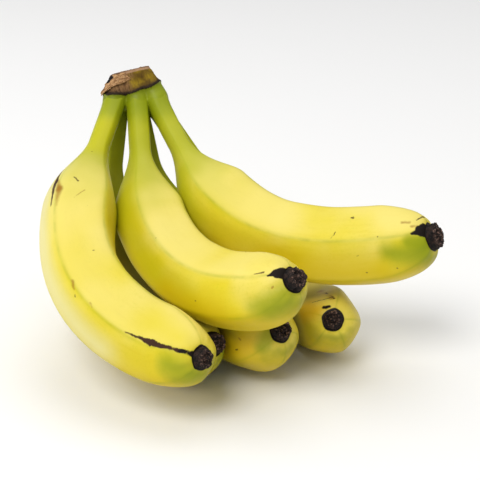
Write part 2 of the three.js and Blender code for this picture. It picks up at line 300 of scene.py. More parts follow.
def make_mesh(name, points, faces, attributes):
    """An object with smooth faces and its attributes on the points. Points are in millimetres."""
    mesh = bpy.data.meshes.new(name)
    mesh.from_pydata([tuple(p) for p in points * MM], [], faces)
    mesh.validate()
    for key, values in attributes.items():
        values = np.asarray(values, np.float32)
        kind = "FLOAT_VECTOR" if values.ndim == 2 else "FLOAT"
        layer = mesh.attributes.new(key, kind, "POINT")
        layer.data.foreach_set("vector" if values.ndim == 2 else "value", values.ravel())
    mesh.polygons.foreach_set("use_smooth", [True] * len(mesh.polygons))
    mesh.update()
    obj = bpy.data.objects.new(name, mesh)
    bpy.context.scene.collection.objects.link(obj)
    return obj


fingers = {name: Finger(name, order) for order, name in enumerate(FINGERS)}
surfaces = {name: finger_surface(f) for name, f in fingers.items()}


def find_crown_middle():
    """The crown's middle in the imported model: there these fingers' boxes fall on the CAD bananas' boxes."""
    offsets = []
    for name, (points, _) in surfaces.items():
        low, high = (np.array(corner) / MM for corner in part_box("banana_" + name))
        mine = points.reshape(-1, 3)
        offset = (low + high) / 2 - (mine.min(0) + mine.max(0)) / 2
        offset[2] = high[2] - mine[:, 2].max()  # by the tops, because some bellies are flattened below
        offsets.append(offset)
    return np.mean(offsets, 0)


crown_middle = find_crown_middle()

GAP_ROWS = 64  # along a finger, where its distance to the others is measured
GAP_STRIDE = 4  # ring points from one measured place to the next
RIDGE_TINT_WIDTH = 4


def nearest_skin(name):
    """Millimetres from each ring point to the nearest other finger, taken on a coarse grid."""
    trees = []
    for other, (points, _) in surfaces.items():
        if other != name:
            coarse = points[::GAP_STRIDE, ::GAP_STRIDE]
            faces = ring_faces(coarse.shape[0], coarse.shape[1])
            trees.append(BVHTree.FromPolygons(coarse.reshape(-1, 3).tolist(), faces))
    points, _ = surfaces[name]
    rows = np.linspace(0, len(points) - 1, GAP_ROWS).round().astype(int)
    columns = np.arange(0, RING_SIDES, GAP_STRIDE)
    gaps = np.empty((GAP_ROWS, len(columns)))
    for i, row in enumerate(rows):
        for k, column in enumerate(columns):
            gaps[i, k] = min(tree.find_nearest(points[row, column])[3] for tree in trees)
    every_row = np.arange(len(points))
    every_column = np.arange(RING_SIDES)
    gaps = np.stack([np.interp(every_row, rows, column) for column in gaps.T], 1)
    return np.stack([np.interp(every_column, columns, row, period=RING_SIDES) for row in gaps])


def make_finger(name):
    f = fingers[name]
    points, straight = surfaces[name]
    points = points.reshape(-1, 3) + crown_middle
    points[:, 2] = np.maximum(points[:, 2], 0)  # the bellies that lie on the table are flat
    rings = len(f.s)
    attributes = {
        "straight": straight.reshape(-1, 3) * MM,
        "from_crown": np.repeat(f.skin, RING_SIDES) * MM,
        "from_end": np.repeat(f.skin[-1] - f.skin, RING_SIDES) * MM,
        "ridge": np.tile(ridge_nearness(RING_ANGLES, RIDGE_TINT_WIDTH), rings),
        "gap": nearest_skin(name).ravel() * MM,
    }
    obj = make_mesh("peel_" + name, points, closed_tube_faces(rings, RING_SIDES), attributes)
    # how far each point's normal looks up: it places the painted highlight and shade, and the tip's green, in
    # the peel
    normals = np.empty(len(points) * 3, np.float32)
    obj.data.vertices.foreach_get("normal", normals)
    layer = obj.data.attributes.new("faces_up", "FLOAT", "POINT")
    layer.data.foreach_set("value", np.ascontiguousarray(normals[2::3]))
    obj.data.materials.append(peel_material(name))
    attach(obj, "root")
    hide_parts("banana_" + name)


# ---- Dried flower ends ----

NUB_RINGS = 44
NUB_SIDES = 88
NUB_SIDE = 0.3  # share of the rings on the knob's side; the others run over the rim into the crater
NUB_ROOT = 1.6  # how far the side reaches back past the scar
NUB_OVERLAP = 0.3  # of the side over the scar's own radius
NUB_SWELL = 1.03
NUB_ROUNDING = 0.9
NUB_CORNERS = 0.07  # five corners, as a share of the radius
NUB_CORNER_WIDTH = 16
# Heights as shares of FLOWER_LENGTH
NUB_SHOULDER = 0.62
NUB_RIM = 0.24
NUB_CRATER = 0.22
NUB_STUB = 1.1  # how far the stub rises in the crater, as a share of the crater's depth
# Roughness: size and height
NUB_LUMPS = (2.6, 0.85)
NUB_PITS = (0.9, 0.8)
NUB_ROUGH_FROM = (-0.6, 1.2)  # height over the scar where it starts and is full
NUB_PIT_SEED = 5


def flower_profile(share):
    """Distance from the middle and height over the scar, from the knob's root at 0 to its stub at 1."""
    if share < NUB_SIDE:
        u = share / NUB_SIDE
        out = (FLOWER_RADIUS + NUB_OVERLAP) * lerp(1, NUB_SWELL, u) - NUB_ROUNDING * u ** 3
        return out, lerp(-NUB_ROOT, NUB_SHOULDER * FLOWER_LENGTH, u)
    u = (share - NUB_SIDE) / (1 - NUB_SIDE)
    rim = math.sin(min(u / 0.3, 1) * math.pi / 2)
    crater = smoothstep(u, 0.25, 0.5) - NUB_STUB * smoothstep(u, 0.5, 0.85)
    height = FLOWER_LENGTH * (NUB_SHOULDER + NUB_RIM * rim - NUB_CRATER * crater)
    return (FLOWER_RADIUS - 0.1) * (1 - u), height


def make_flower_end(name, material):
    """A rough five-cornered knob: a ragged rim round a shallow crater with the dried stub inside."""
    f = fingers[name]
    end, along = f.line[-1], f.along[-1]
    rad = np.linspace(-math.pi, math.pi, NUB_SIDES, endpoint=False)
    corners = 1 + NUB_CORNERS * (ridge_nearness(np.degrees(rad), NUB_CORNER_WIDTH) - RIDGE_MEAN)
    rows, heights = [], []
    for share in np.linspace(0, 1, NUB_RINGS):
        out, height = flower_profile(share)
        reach = out * SCAR_SHARE[name] * corners
        rows.append(along * height + f.inside[-1] * (reach * np.cos(rad))[:, None]
                    + f.side[-1] * (reach * np.sin(rad))[:, None])
        heights.append(height)
    local = np.array(rows).reshape(-1, 3)
    height = np.repeat(heights, NUB_SIDES)
    away = local - np.outer(local @ along, along) + along * 2.5
    away /= np.linalg.norm(away, axis=1)[:, None]
    lumps = noise_at(local, NUB_LUMPS[0], f.seed, 3)
    pits = np.abs(noise_at(local, NUB_PITS[0], f.seed + NUB_PIT_SEED))
    rough = (NUB_LUMPS[1] * lumps - NUB_PITS[1] * pits) * smoothstep(height, *NUB_ROUGH_FROM)
    points = end + local + away * rough[:, None] + crown_middle
    obj = make_mesh("dried_end_" + name, points, closed_tube_faces(NUB_RINGS, NUB_SIDES),
                    {"height": height * MM, "pit": pits})
    obj.data.materials.append(material)
    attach(obj, "root")
    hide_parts("flower_end_" + name)


# ---- Crown ----

SLEEVE_WALL = 0.75  # skin of the crown round each stem, at the stem's top
SLEEVE_DOWN = 8.5  # how far it runs out along a stem
SLEEVE_BURIED = 0.7  # how deep its far end lies in the stem
SLEEVE_RINGS = 20
SLEEVE_STRAIGHT = 6  # how far a sleeve keeps the stem's direction above the stem's top
SLEEVE_CUT_RADIUS = 6.3
# How far apart the sleeves' ends are in the cut
CUT_COLUMN_PITCH = 4.2
CUT_ROW_PITCH = 8
# The block between the sleeves: it starts below the stems' tops, as a share of CUT_HEIGHT
BLOCK_START = -0.15
BLOCK_HALF_WIDTH = 15.5
BLOCK_HALF_DEPTH = 8.5
BLOCK_RINGS = 8
SWEEP_SIDES = 40
VOXEL = 0.5
SOFTENINGS = 7

BAND_HEIGHT = 4.8  # of the dark band above the stems' middle
BAND_SLOPE = 0.05
BAND_BOW = 0.0122  # how much higher it runs towards both ends of the row
BAND_RAGGED = 0.7
BAND_LIFT = 0.75
BAND_WIDTH = 1.1
BAND_MIDDLE = 0.2
FIBRE_LIFT = 0.45
FIBRE_STRETCH = 0.18  # across the fibres' length
DRIED_IN = 0.5  # how far the dry skin has shrunk
CUT_TRIM = 0.4
CUT_HOLLOW = 0.9
CUT_ROUGH = 0.3


def sweep(rows):
    """A closed tube through rings of (centre, first axis, second axis)."""
    rad = np.linspace(0, 2 * math.pi, SWEEP_SIDES, endpoint=False)
    points = [c + a * np.cos(rad)[:, None] + b * np.sin(rad)[:, None] for c, a, b in rows]
    return np.concatenate(points), closed_tube_faces(len(rows), SWEEP_SIDES)


def sleeve(f):
    """Out of the stem's skin, up to the stem's top, and on into the cut."""
    first, second, up_stem = f.turn[:, 0], f.turn[:, 1], -f.turn[:, 2]
    column = (f.root @ row_step) / stem_pitch
    row = (f.root @ back_step) / stem_pitch
    target = (cut_looks * CUT_HEIGHT + cut_wide * column * CUT_COLUMN_PITCH
              + cut_deep * row * CUT_ROW_PITCH)
    rows = []
    for t in np.linspace(0, 1, SLEEVE_RINGS):
        if t < 0.5:
            s = SLEEVE_DOWN * (1 - t / 0.5)
            centre = np.array([np.interp(s, f.s, f.line[:, k]) for k in range(3)])
            size = STEM_RADIUS + lerp(SLEEVE_WALL, -SLEEVE_BURIED, smoothstep(s, 0, SLEEVE_DOWN))
            rows.append((centre, first * size, second * size))
        else:
            u = (t - 0.5) / 0.5
            bend = smoothstep(u, 0, 1)
            centre = lerp(f.line[0] + up_stem * SLEEVE_STRAIGHT * u, target, bend)
            wide = unit(lerp(first, cut_wide * np.sign(first @ cut_wide), bend))
            deep = unit(lerp(second, cut_deep * np.sign(second @ cut_deep), bend))
            size = lerp(STEM_RADIUS + SLEEVE_WALL, SLEEVE_CUT_RADIUS, u)
            rows.append((centre, wide * size, deep * size))
    return sweep(rows)


def crown_block():
    """The solid middle of the crown, from among the stems up to the cut."""
    rows = []
    for t in np.linspace(BLOCK_START, 1, BLOCK_RINGS):
        width = lerp(BLOCK_HALF_WIDTH, CUT_HALF_WIDTH, max(t, 0) ** 0.8)
        depth = lerp(BLOCK_HALF_DEPTH, CUT_HALF_DEPTH, max(t, 0))
        shrink = 1 - 2 * max(-t, 0)
        rows.append((cut_looks * CUT_HEIGHT * t, cut_wide * width * shrink, cut_deep * depth * shrink))
    return sweep(rows)


def joined(parts):
    """The parts joined into one even skin: its points, normals and faces."""
    points, faces = [], []
    for part_points, part_faces in parts:
        faces += [tuple(k + len(points) for k in face) for face in part_faces]
        points += [tuple(p * MM) for p in part_points]
    mesh = bpy.data.meshes.new("crown_parts")
    mesh.from_pydata(points, [], faces)
    obj = bpy.data.objects.new("crown_parts", mesh)
    bpy.context.scene.collection.objects.link(obj)
    join = obj.modifiers.new("join", "REMESH")
    join.mode = "VOXEL"
    join.voxel_size = VOXEL * MM
    soften = obj.modifiers.new("soften", "SMOOTH")
    soften.factor = 0.5
    soften.iterations = SOFTENINGS
    depsgraph = bpy.context.evaluated_depsgraph_get()
    final = bpy.data.meshes.new_from_object(obj.evaluated_get(depsgraph))
    bpy.data.objects.remove(obj)
    points = np.empty(len(final.vertices) * 3)
    final.vertices.foreach_get("co", points)
    normals = np.empty(len(final.vertices) * 3)
    final.vertices.foreach_get("normal", normals)
    faces = [tuple(p.vertices) for p in final.polygons]
    return points.reshape(-1, 3) / MM, normals.reshape(-1, 3), faces


def make_crown():
    points, normals, faces = joined([sleeve(f) for f in fingers.values()] + [crown_block()])
    along_row = points @ row_step
    up = points @ cut_looks
    to_cut = CUT_HEIGHT - up
    # a raised dark band, and dry fibrous skin above it that has shrunk
    band = BAND_HEIGHT + BAND_SLOPE * along_row + BAND_BOW * along_row ** 2
    above = up - band - BAND_RAGGED * noise_at(points, 6, 3)
    rim = np.exp(-((above - BAND_MIDDLE) / BAND_WIDTH) ** 2)
    fibres = noise_at(points - np.outer(up, cut_looks) * (1 - FIBRE_STRETCH), 2.2, 7, 3)
    shrunk = smoothstep(above, 1.5, 6) * (1 - smoothstep(up, 9, 14))
    lift = BAND_LIFT * rim + smoothstep(above, -1, 1.5) * (FIBRE_LIFT * fibres - DRIED_IN * shrunk)
    points = points + normals * (lift * smoothstep(to_cut, 0.3, 2.2))[:, None]
    # the cut: flat, a little hollow, with a rough face
    over = np.maximum(points @ cut_looks - CUT_HEIGHT + CUT_TRIM, 0)
    points -= np.outer(over, cut_looks)
    rough = noise_at(points, 1.6, 9, 3)
    from_middle = points - cut_looks * CUT_HEIGHT
    out = np.hypot(from_middle @ cut_wide / CUT_HALF_WIDTH, from_middle @ cut_deep / CUT_HALF_DEPTH)
    cut = smoothstep(-to_cut, -1.3, -0.5)
    hollow = CUT_HOLLOW * (1 - smoothstep(out, 0.3, 1)) - CUT_ROUGH * rough
    points -= np.outer(hollow * cut, cut_looks)
    fibre = np.stack([points @ cut_wide, points @ cut_deep, up * 0.15], 1)
    attributes = {"above": above * MM, "cut": cut, "out": out, "up": up * MM, "row": along_row * MM,
                  "fibre": fibre * MM}
    obj = make_mesh("crown_skin", points + crown_middle, faces, attributes)
    obj.data.materials.append(crown_material())
    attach(obj, "root")
    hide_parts("crown")
    return points, faces


# The strip of skin that was torn when the bunch was cut: places along the cut's width and up, half widths,
# and how far it stands off the crown, in millimetres.
TORN_PATH = ((-2.6, 15.8), (-6.0, 14.4), (-9.6, 12.6), (-13.4, 10.4), (-17.4, 8.0))
TORN_HALF_WIDTH = (4.2, 3.4, 2.2, 1.6, 0.8)
TORN_LIFT = (0.1, 0.5, 0.9, 0.8, 0.6)
TORN_TOP = CUT_HEIGHT - 1.3
TORN_ROWS = 40
TORN_COLUMNS = 13
TORN_CURL = 0.5  # how much more its edges stand off at the far end
TORN_OUTSIDE = 0.3  # its skins, outside and inside of that
TORN_INSIDE = 0.25
TORN_ROUGH = 0.45
RAY_START = 30  # in front of the crown's middle
RAY_MISS = 7  # where the strip runs past the crown's side, it follows the skin nearest to this depth
FRONT = 2  # a hit less than this in front of the middle is on the crown's side, not its front


def make_torn_skin(crown_points, crown_faces):
    """A thin curled strip that lies over the crown's front left corner."""
    tree = BVHTree.FromPolygons(crown_points.tolist(), crown_faces)
    share = np.linspace(0, 1, TORN_ROWS)
    knots = np.linspace(0, 1, len(TORN_PATH))
    path = np.array(TORN_PATH)
    wide, up, half, lift = (np.interp(share, knots, values)
                            for values in (path[:, 0], path[:, 1], TORN_HALF_WIDTH, TORN_LIFT))
    step = unit(path[-1] - path[0])
    across = np.array([step[1], -step[0]])
    across *= -np.sign(across[1])  # from the upper edge to the lower one
    top, under = [], []
    for k in range(TORN_ROWS):
        for j in np.linspace(-1, 1, TORN_COLUMNS):
            w, u = np.array([wide[k], up[k]]) + across * half[k] * j
            in_plane = cut_wide * w + cut_looks * min(u, TORN_TOP)
            hit, normal, _, _ = tree.ray_cast(Vector(in_plane - cut_deep * RAY_START), Vector(cut_deep))
            if hit is None or np.array(hit) @ cut_deep > -FRONT:
                hit, normal, _, _ = tree.find_nearest(Vector(in_plane - cut_deep * RAY_MISS))
            out = np.array(normal)
            point = np.array(hit) + out * (lift[k] + TORN_CURL * j * j * share[k])
            top.append(point + out * TORN_OUTSIDE)
            under.append(point - out * TORN_INSIDE)
    top, under = np.array(top), np.array(under)
    rough = TORN_ROUGH * noise_at(top, 2, 4, 3)[:, None] * -cut_deep
    points = np.concatenate([top + rough, under + rough])
    count = len(top)
    faces = []
    for k in range(TORN_ROWS - 1):
        for j in range(TORN_COLUMNS - 1):
            a = k * TORN_COLUMNS + j
            quad = (a, a + 1, a + TORN_COLUMNS + 1, a + TORN_COLUMNS)
            faces.append(quad)
            faces.append(tuple(v + count for v in quad[::-1]))
    grid = np.arange(count).reshape(TORN_ROWS, TORN_COLUMNS)
    rim = np.concatenate([grid[0], grid[1:, -1], grid[-1, -2::-1], grid[-2:0:-1, 0]]).tolist()
    for a, b in zip(rim, rim[1:] + rim[:1]):
        faces.append((b, a, a + count, b + count))
    strand = np.tile(np.linspace(-1, 1, TORN_COLUMNS), 2 * TORN_ROWS)
    far = np.tile(np.repeat(share, TORN_COLUMNS), 2)
    obj = make_mesh("torn_crown_skin", points + crown_middle, faces, {"strand": strand, "far": far})
    obj.data.materials.append(torn_material())
    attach(obj, "root")
    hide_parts("crown")


# ---- Node helpers ----

class Nodes:
    """One material and short names for building its nodes. Sizes are in millimetres."""

    def __init__(self, name):
        self.material = bpy.data.materials.new(name)
        self.material.use_nodes = True
        self.tree = self.material.node_tree
        self.shader = self.tree.nodes["Principled BSDF"]

    def add(self, kind, **settings):
        node = self.tree.nodes.new(kind)
        for key, value in settings.items():
            setattr(node, key, value)
        return node

    def feed(self, socket, value):
        if isinstance(value, bpy.types.NodeSocket):
            self.tree.links.new(value, socket)
        elif isinstance(value, tuple) and len(value) == 3 and socket.type == "RGBA":
            socket.default_value = (*value, 1)
        else:
            socket.default_value = value

    def finish(self, colour, roughness, specular, normal=None):
        self.feed(self.shader.inputs["Base Color"], colour)
        self.feed(self.shader.inputs["Roughness"], roughness)
        self.shader.inputs["Specular IOR Level"].default_value = specular
        if normal is not None:
            self.feed(self.shader.inputs["Normal"], normal)
        return self.material

    def object_place(self):
        return self.add("ShaderNodeTexCoord").outputs["Object"]

    def attribute(self, name, vector=False):
        node = self.add("ShaderNodeAttribute", attribute_name=name)
        return node.outputs["Vector" if vector else "Fac"]

    def math(self, operation, *values):
        node = self.add("ShaderNodeMath", operation=operation)
        for socket, value in zip(node.inputs, values):
            self.feed(socket, value)
        return node.outputs[0]

    def vector(self, operation, a, b=None, scale=None):
        node = self.add("ShaderNodeVectorMath", operation=operation)
        self.feed(node.inputs[0], a)
        if b is not None:
            self.feed(node.inputs[1], b)
        if scale is not None:
            self.feed(node.inputs["Scale"], scale)
        return node.outputs["Value" if operation in ("LENGTH", "DOT_PRODUCT") else "Vector"]

    def step(self, value, low, high):
        """0 below low and 1 above high, smoothly; low may be the larger one."""
        node = self.add("ShaderNodeMapRange", interpolation_type="SMOOTHSTEP")
        turned = low > high
        for socket, number in zip(node.inputs[1:5], (high, low, 1, 0) if turned else (low, high, 0, 1)):
            socket.default_value = number
        self.feed(node.inputs[0], value)
        return node.outputs[0]

    def step_mm(self, value, low, high):
        return self.step(value, low * MM, high * MM)

    def mix(self, share, a, b):
        node = self.add("ShaderNodeMix", data_type="RGBA")
        self.feed(node.inputs["Factor"], share)
        self.feed(node.inputs[6], a)
        self.feed(node.inputs[7], b)
        return node.outputs[2]

    def tint(self, colour, tint, share, strength=1):
        """The colour with the tint laid over it where share is 1."""
        return self.mix(self.math("MULTIPLY", share, strength), colour, tint)

    def noise(self, vector, size, detail=3.0, roughness=0.55, output="Fac"):
        """Noise from 0 to 1 whose features are about size millimetres."""
        node = self.add("ShaderNodeTexNoise")
        self.feed(node.inputs["Vector"], vector)
        node.inputs["Scale"].default_value = 1 / (size * MM)
        node.inputs["Detail"].default_value = detail
        node.inputs["Roughness"].default_value = roughness
        return node.outputs[output]

    def waver(self, noise_value, height):
        """Up to half the height up or down, as the noise goes."""
        return self.math("MULTIPLY", self.math("SUBTRACT", noise_value, 0.5), height)

    def shifted(self, value, noise_value, height):
        return self.math("ADD", value, self.waver(noise_value, height))

    def bump(self, height, distance, strength=1.0, below=None):
        node = self.add("ShaderNodeBump")
        node.inputs["Strength"].default_value = strength
        node.inputs["Distance"].default_value = distance * MM
        self.feed(node.inputs["Height"], height)
        if below is not None:
            self.feed(node.inputs["Normal"], below)
        return node.outputs["Normal"]

    def ridge_line(self, place):
        """1 on a fine line along each ridge of a straightened finger."""
        parts = self.add("ShaderNodeSeparateXYZ")
        self.feed(parts.inputs[0], place)
        angle = self.math("ABSOLUTE", self.math("ARCTAN2", parts.outputs[1], parts.outputs[0]))
        outer, inner = (math.radians(a) for a in RIDGE_LINE_ANGLES)
        on_line = 0.0
        for ridge in sorted({abs(a) for a in RIDGE_ANGLES}):
            away = self.math("ABSOLUTE", self.math("SUBTRACT", angle, math.radians(ridge)))
            on_line = self.math("MAXIMUM", on_line, self.step(away, outer, inner))
        return on_line

    def capsule(self, place, start, end, width_start, width_end, soft):
        """1 inside a mark that runs from start to end and tapers, 0 outside. Points are in metres."""
        start, end = Vector(start), Vector(end)
        axis = end - start
        from_start = self.vector("SUBTRACT", place, tuple(start))
        share = self.vector("DOT_PRODUCT", from_start, tuple(axis / axis.length_squared))
        share = self.math("MAXIMUM", self.math("MINIMUM", share, 1.0), 0.0)
        nearest = self.vector("SCALE", tuple(axis), scale=share)
        away = self.vector("LENGTH", self.vector("SUBTRACT", from_start, nearest))
        width = self.math("MULTIPLY_ADD", share, (width_end - width_start) * MM, width_start * MM)
        return self.step_mm(self.math("SUBTRACT", width, away), -soft / 2, soft / 2)


def srgb(red, green, blue):
    """Linear colour from 0 to 255 display values."""
    def linear(v):
        v /= 255
        return v / 12.92 if v <= 0.04045 else ((v + 0.055) / 1.055) ** 2.4
    return (linear(red), linear(green), linear(blue))


# ---- Peel ----

YELLOW = srgb(220, 202, 44)
PALE_YELLOW = srgb(232, 216, 122)
DEEP_YELLOW = srgb(206, 180, 12)
PAINTED_REFLECTION_YELLOW = srgb(222, 216, 160)
GREEN_YELLOW = srgb(192, 186, 18)
STEM_GREEN = srgb(162, 168, 10)
SHADE_GREEN = srgb(140, 152, 18)
CROWN_GREEN = srgb(122, 138, 14)
PAINTED_SHADE_GREEN = srgb(64, 76, 8)
TIP_GREEN = srgb(108, 126, 22)
BRUISE = srgb(62, 38, 26)
SCAR_BLACK = srgb(24, 17, 13)
TAN_MARK = srgb(150, 104, 30)
OCHRE = srgb(222, 180, 12)

# Sizes of the skin's patterns
# patches of painted highlight on the faces that look up
HIGHLIGHT_PATCH_SIZE = 48
BROAD_SIZE = 34
MIDDLE_SIZE = 9
WAVE_SIZE = 5
RAGGED_SIZE = 2.4
STREAK_SIZE = 2.2
PORE_SIZE = 1.5
STREAK_STRETCH = 0.16
PATTERN_SHIFT = 40  # for each unit of a finger's seed
RIDGE_LINE_ANGLES = (3.4, 0.6)  # degrees from a ridge where its line starts and is full
# Where a tint starts and where it is full: distances to the next finger, from the crown and from the end
NEAR_GREEN = (10, 1)
# the next three place the painted shade between fingers
HIDDEN_SHADE = (24, 7)
TOUCHING_SHADE = (1.6, 0.2)
SHADE_FROM_END = (12, 45)
NECK_GREEN = (92, 30)
NECK_WAVER = 46
TOP_GREEN = (22, 4)
END_GREEN = (20, 0)
END_WAVER = 16
COLLAR = (1.1, 0.7)
# Freckles
FRECKLE_CELL = 8.5
FRECKLE_RADIUS = 0.085  # the largest, as a share of a cell
FRECKLE_SOFT = 0.02
MARK_WANDER = 1.5  # of the marks' edges
PEEL_ROUGHNESS = 0.34


def skin_place(f, from_end, angle):
    """The point on the straightened finger that lies this far from the flower scar, along the skin."""
    s = np.interp(f.skin[-1] - from_end, f.skin, f.s)
    rad = np.array(math.radians(angle))
    reach = f.reach(s, rad)
    return tuple(np.array([reach * math.cos(rad), reach * math.sin(rad), s]) * MM)


# Marks on each finger, and a painted reflection on the pale left face of front_left: colour, start and end as
# (mm from the flower end along the skin, angle round the finger), half widths in mm at both ends, softness in
# mm, strength.
MARKS = {
    "front_left": [
        # painted reflection: a pale whitish sheen along the left face
        (PAINTED_REFLECTION_YELLOW, (138, 160), (52, 162), 11, 6, 16, 0.7),
        (GREEN_YELLOW, (180, 75), (165, 75), 4, 6, 9, 0.65),
        (SHADE_GREEN, (12, 142), (3, -165), 6, 5, 12, 0.75),
        (TAN_MARK, (131, 116), (126, 111), 0.5, 1.7, 2.2, 0.8),
        (TAN_MARK, (126, 111), (117, 112), 1.7, 0.2, 2.2, 0.7),
        (BRUISE, (144, 130), (131, 123), 0.4, 1.7, 0.7, 0.95),
        (BRUISE, (131, 123), (118, 123), 1.7, 0.4, 0.7, 0.95),
        (YELLOW, (36, 78), (10, 84), 8, 6, 16, 0.7),
        (BRUISE, (133.5, 93), (131.5, 84), 0.3, 0.5, 0.5, 0.8),
        (TAN_MARK, (121, 85), (126, 71), 0.2, 0.3, 0.5, 0.7),
        (TAN_MARK, (77, 113), (74, 117), 0.9, 0.6, 1.2, 0.7),
        (BRUISE, (72, 122), (71.5, 123), 0.4, 0.4, 0.5, 0.7),
        (BRUISE, (88, 64), (88, 65), 0.35, 0.35, 0.4, 0.7),
        (TAN_MARK, (64, 112), (62, 114), 0.5, 0.4, 0.8, 0.6),
        (BRUISE, (45, 112), (37, 109), 0.25, 0.7, 0.5, 0.95),
        (BRUISE, (37, 109), (27, 109), 0.8, 1.7, 0.6, 1),
        (BRUISE, (27, 109), (16, 111), 1.7, 1.0, 0.6, 1),
        (BRUISE, (16, 111), (6, 110), 1.0, 1.0, 0.6, 1),
        (SCAR_BLACK, (7, 110), (0, 105), 0.9, 1.4, 0.6, 1),
    ],
    "front_middle": [
        (GREEN_YELLOW, (130, 145), (60, 160), 8, 7, 14, 0.65),
        (SHADE_GREEN, (14, -175), (2, -150), 6, 5, 12, 0.75),
        (SHADE_GREEN, (20, 165), (4, 170), 3, 4, 9, 0.5),
        (DEEP_YELLOW, (70, 165), (40, 170), 6, 6, 12, 0.7),
        (BRUISE, (15, 110), (9.5, 107), 0.2, 0.4, 0.4, 0.85),
        (TAN_MARK, (6.6, 145), (6.2, 145), 0.5, 0.5, 0.6, 0.7),
        (BRUISE, (53, 160), (52.6, 160), 0.35, 0.35, 0.4, 0.7),
        (BRUISE, (39, 45), (38.6, 46), 0.35, 0.35, 0.4, 0.7),
        (SCAR_BLACK, (7.5, 116), (1.5, 104), 0.4, 2.6, 0.6, 1),
        (SCAR_BLACK, (3, 108), (0, 100), 2.6, 3.4, 0.6, 1),
    ],
    "front_right": [
        (SHADE_GREEN, (24, 140), (4, 165), 4, 6, 10, 0.9),
        (SHADE_GREEN, (10, 128), (3, 140), 3, 4, 5, 0.8),
        (DEEP_YELLOW, (80, 160), (30, 165), 8, 6, 14, 0.8),
        (BRUISE, (44, 68), (42.8, 68), 0.5, 0.5, 0.5, 0.9),
        (BRUISE, (52.5, 110), (51, 99), 0.25, 0.3, 0.4, 0.85),
        (BRUISE, (6, 71), (3.8, 40), 0.3, 0.6, 0.5, 0.9),
        (TAN_MARK, (13, 86), (9, 84), 0.7, 0.5, 1.4, 0.7),
        (TAN_MARK, (8, 95), (5, 90), 0.6, 0.4, 1.2, 0.7),
        (BRUISE, (28.3, 112), (28, 112), 0.35, 0.35, 0.4, 0.7),
        (BRUISE, (21, 168), (20.7, 168), 0.35, 0.35, 0.4, 0.7),
        (BRUISE, (40.5, 138), (40, 138), 0.3, 0.3, 0.4, 0.7),
        (BRUISE, (37, 166), (36.6, 166), 0.35, 0.35, 0.4, 0.7),
        (SCAR_BLACK, (8, 113), (2, 102), 0.4, 3.0, 0.6, 1),
        (SCAR_BLACK, (3, 104), (0, 96), 3.0, 4.0, 0.6, 1),
    ],
    "back_middle": [
        (OCHRE, (40, 90), (14, 95), 8, 5, 12, 0.6),
        (SHADE_GREEN, (8, 110), (1, 80), 3, 4, 6, 0.7),
        (BRUISE, (23, 96), (22, 96), 0.5, 0.4, 0.6, 0.8),
        (TAN_MARK, (19, 77), (18, 80), 0.4, 0.4, 0.6, 0.7),
    ],
    "back_right": [
        (OCHRE, (14, 40), (5, 30), 6, 4, 8, 0.75),
        (TAN_MARK, (30, -10), (8, -26), 1.6, 1.0, 2.5, 0.7),
        (BRUISE, (18, -16), (7, -32), 0.4, 0.5, 0.6, 0.9),
        (BRUISE, (13.4, 19), (9.3, -6), 0.25, 0.35, 0.4, 0.9),
        (BRUISE, (9.3, -6), (9.2, -29), 0.35, 0.3, 0.4, 0.9),
        (SCAR_BLACK, (3.4, 8), (2.4, -14), 0.9, 0.8, 0.8, 1),
    ],
    "back_left": [
        (SHADE_GREEN, (30, -120), (2, -120), 9, 6, 12, 0.8),
    ],
}


def freckles(n, place):
    """1 on a speck in a few of the cells that a pattern makes."""
    cells = n.add("ShaderNodeTexVoronoi")
    n.feed(cells.inputs["Vector"], place)
    cells.inputs["Scale"].default_value = 1 / (FRECKLE_CELL * MM)
    picked = n.add("ShaderNodeSeparateColor")
    n.feed(picked.inputs[0], cells.outputs["Color"])
    radius = n.math("MULTIPLY", n.step(picked.outputs[0], 0.55, 1.3), FRECKLE_RADIUS)
    return n.step(n.math("SUBTRACT", radius, cells.outputs["Distance"]), -FRECKLE_SOFT, FRECKLE_SOFT)


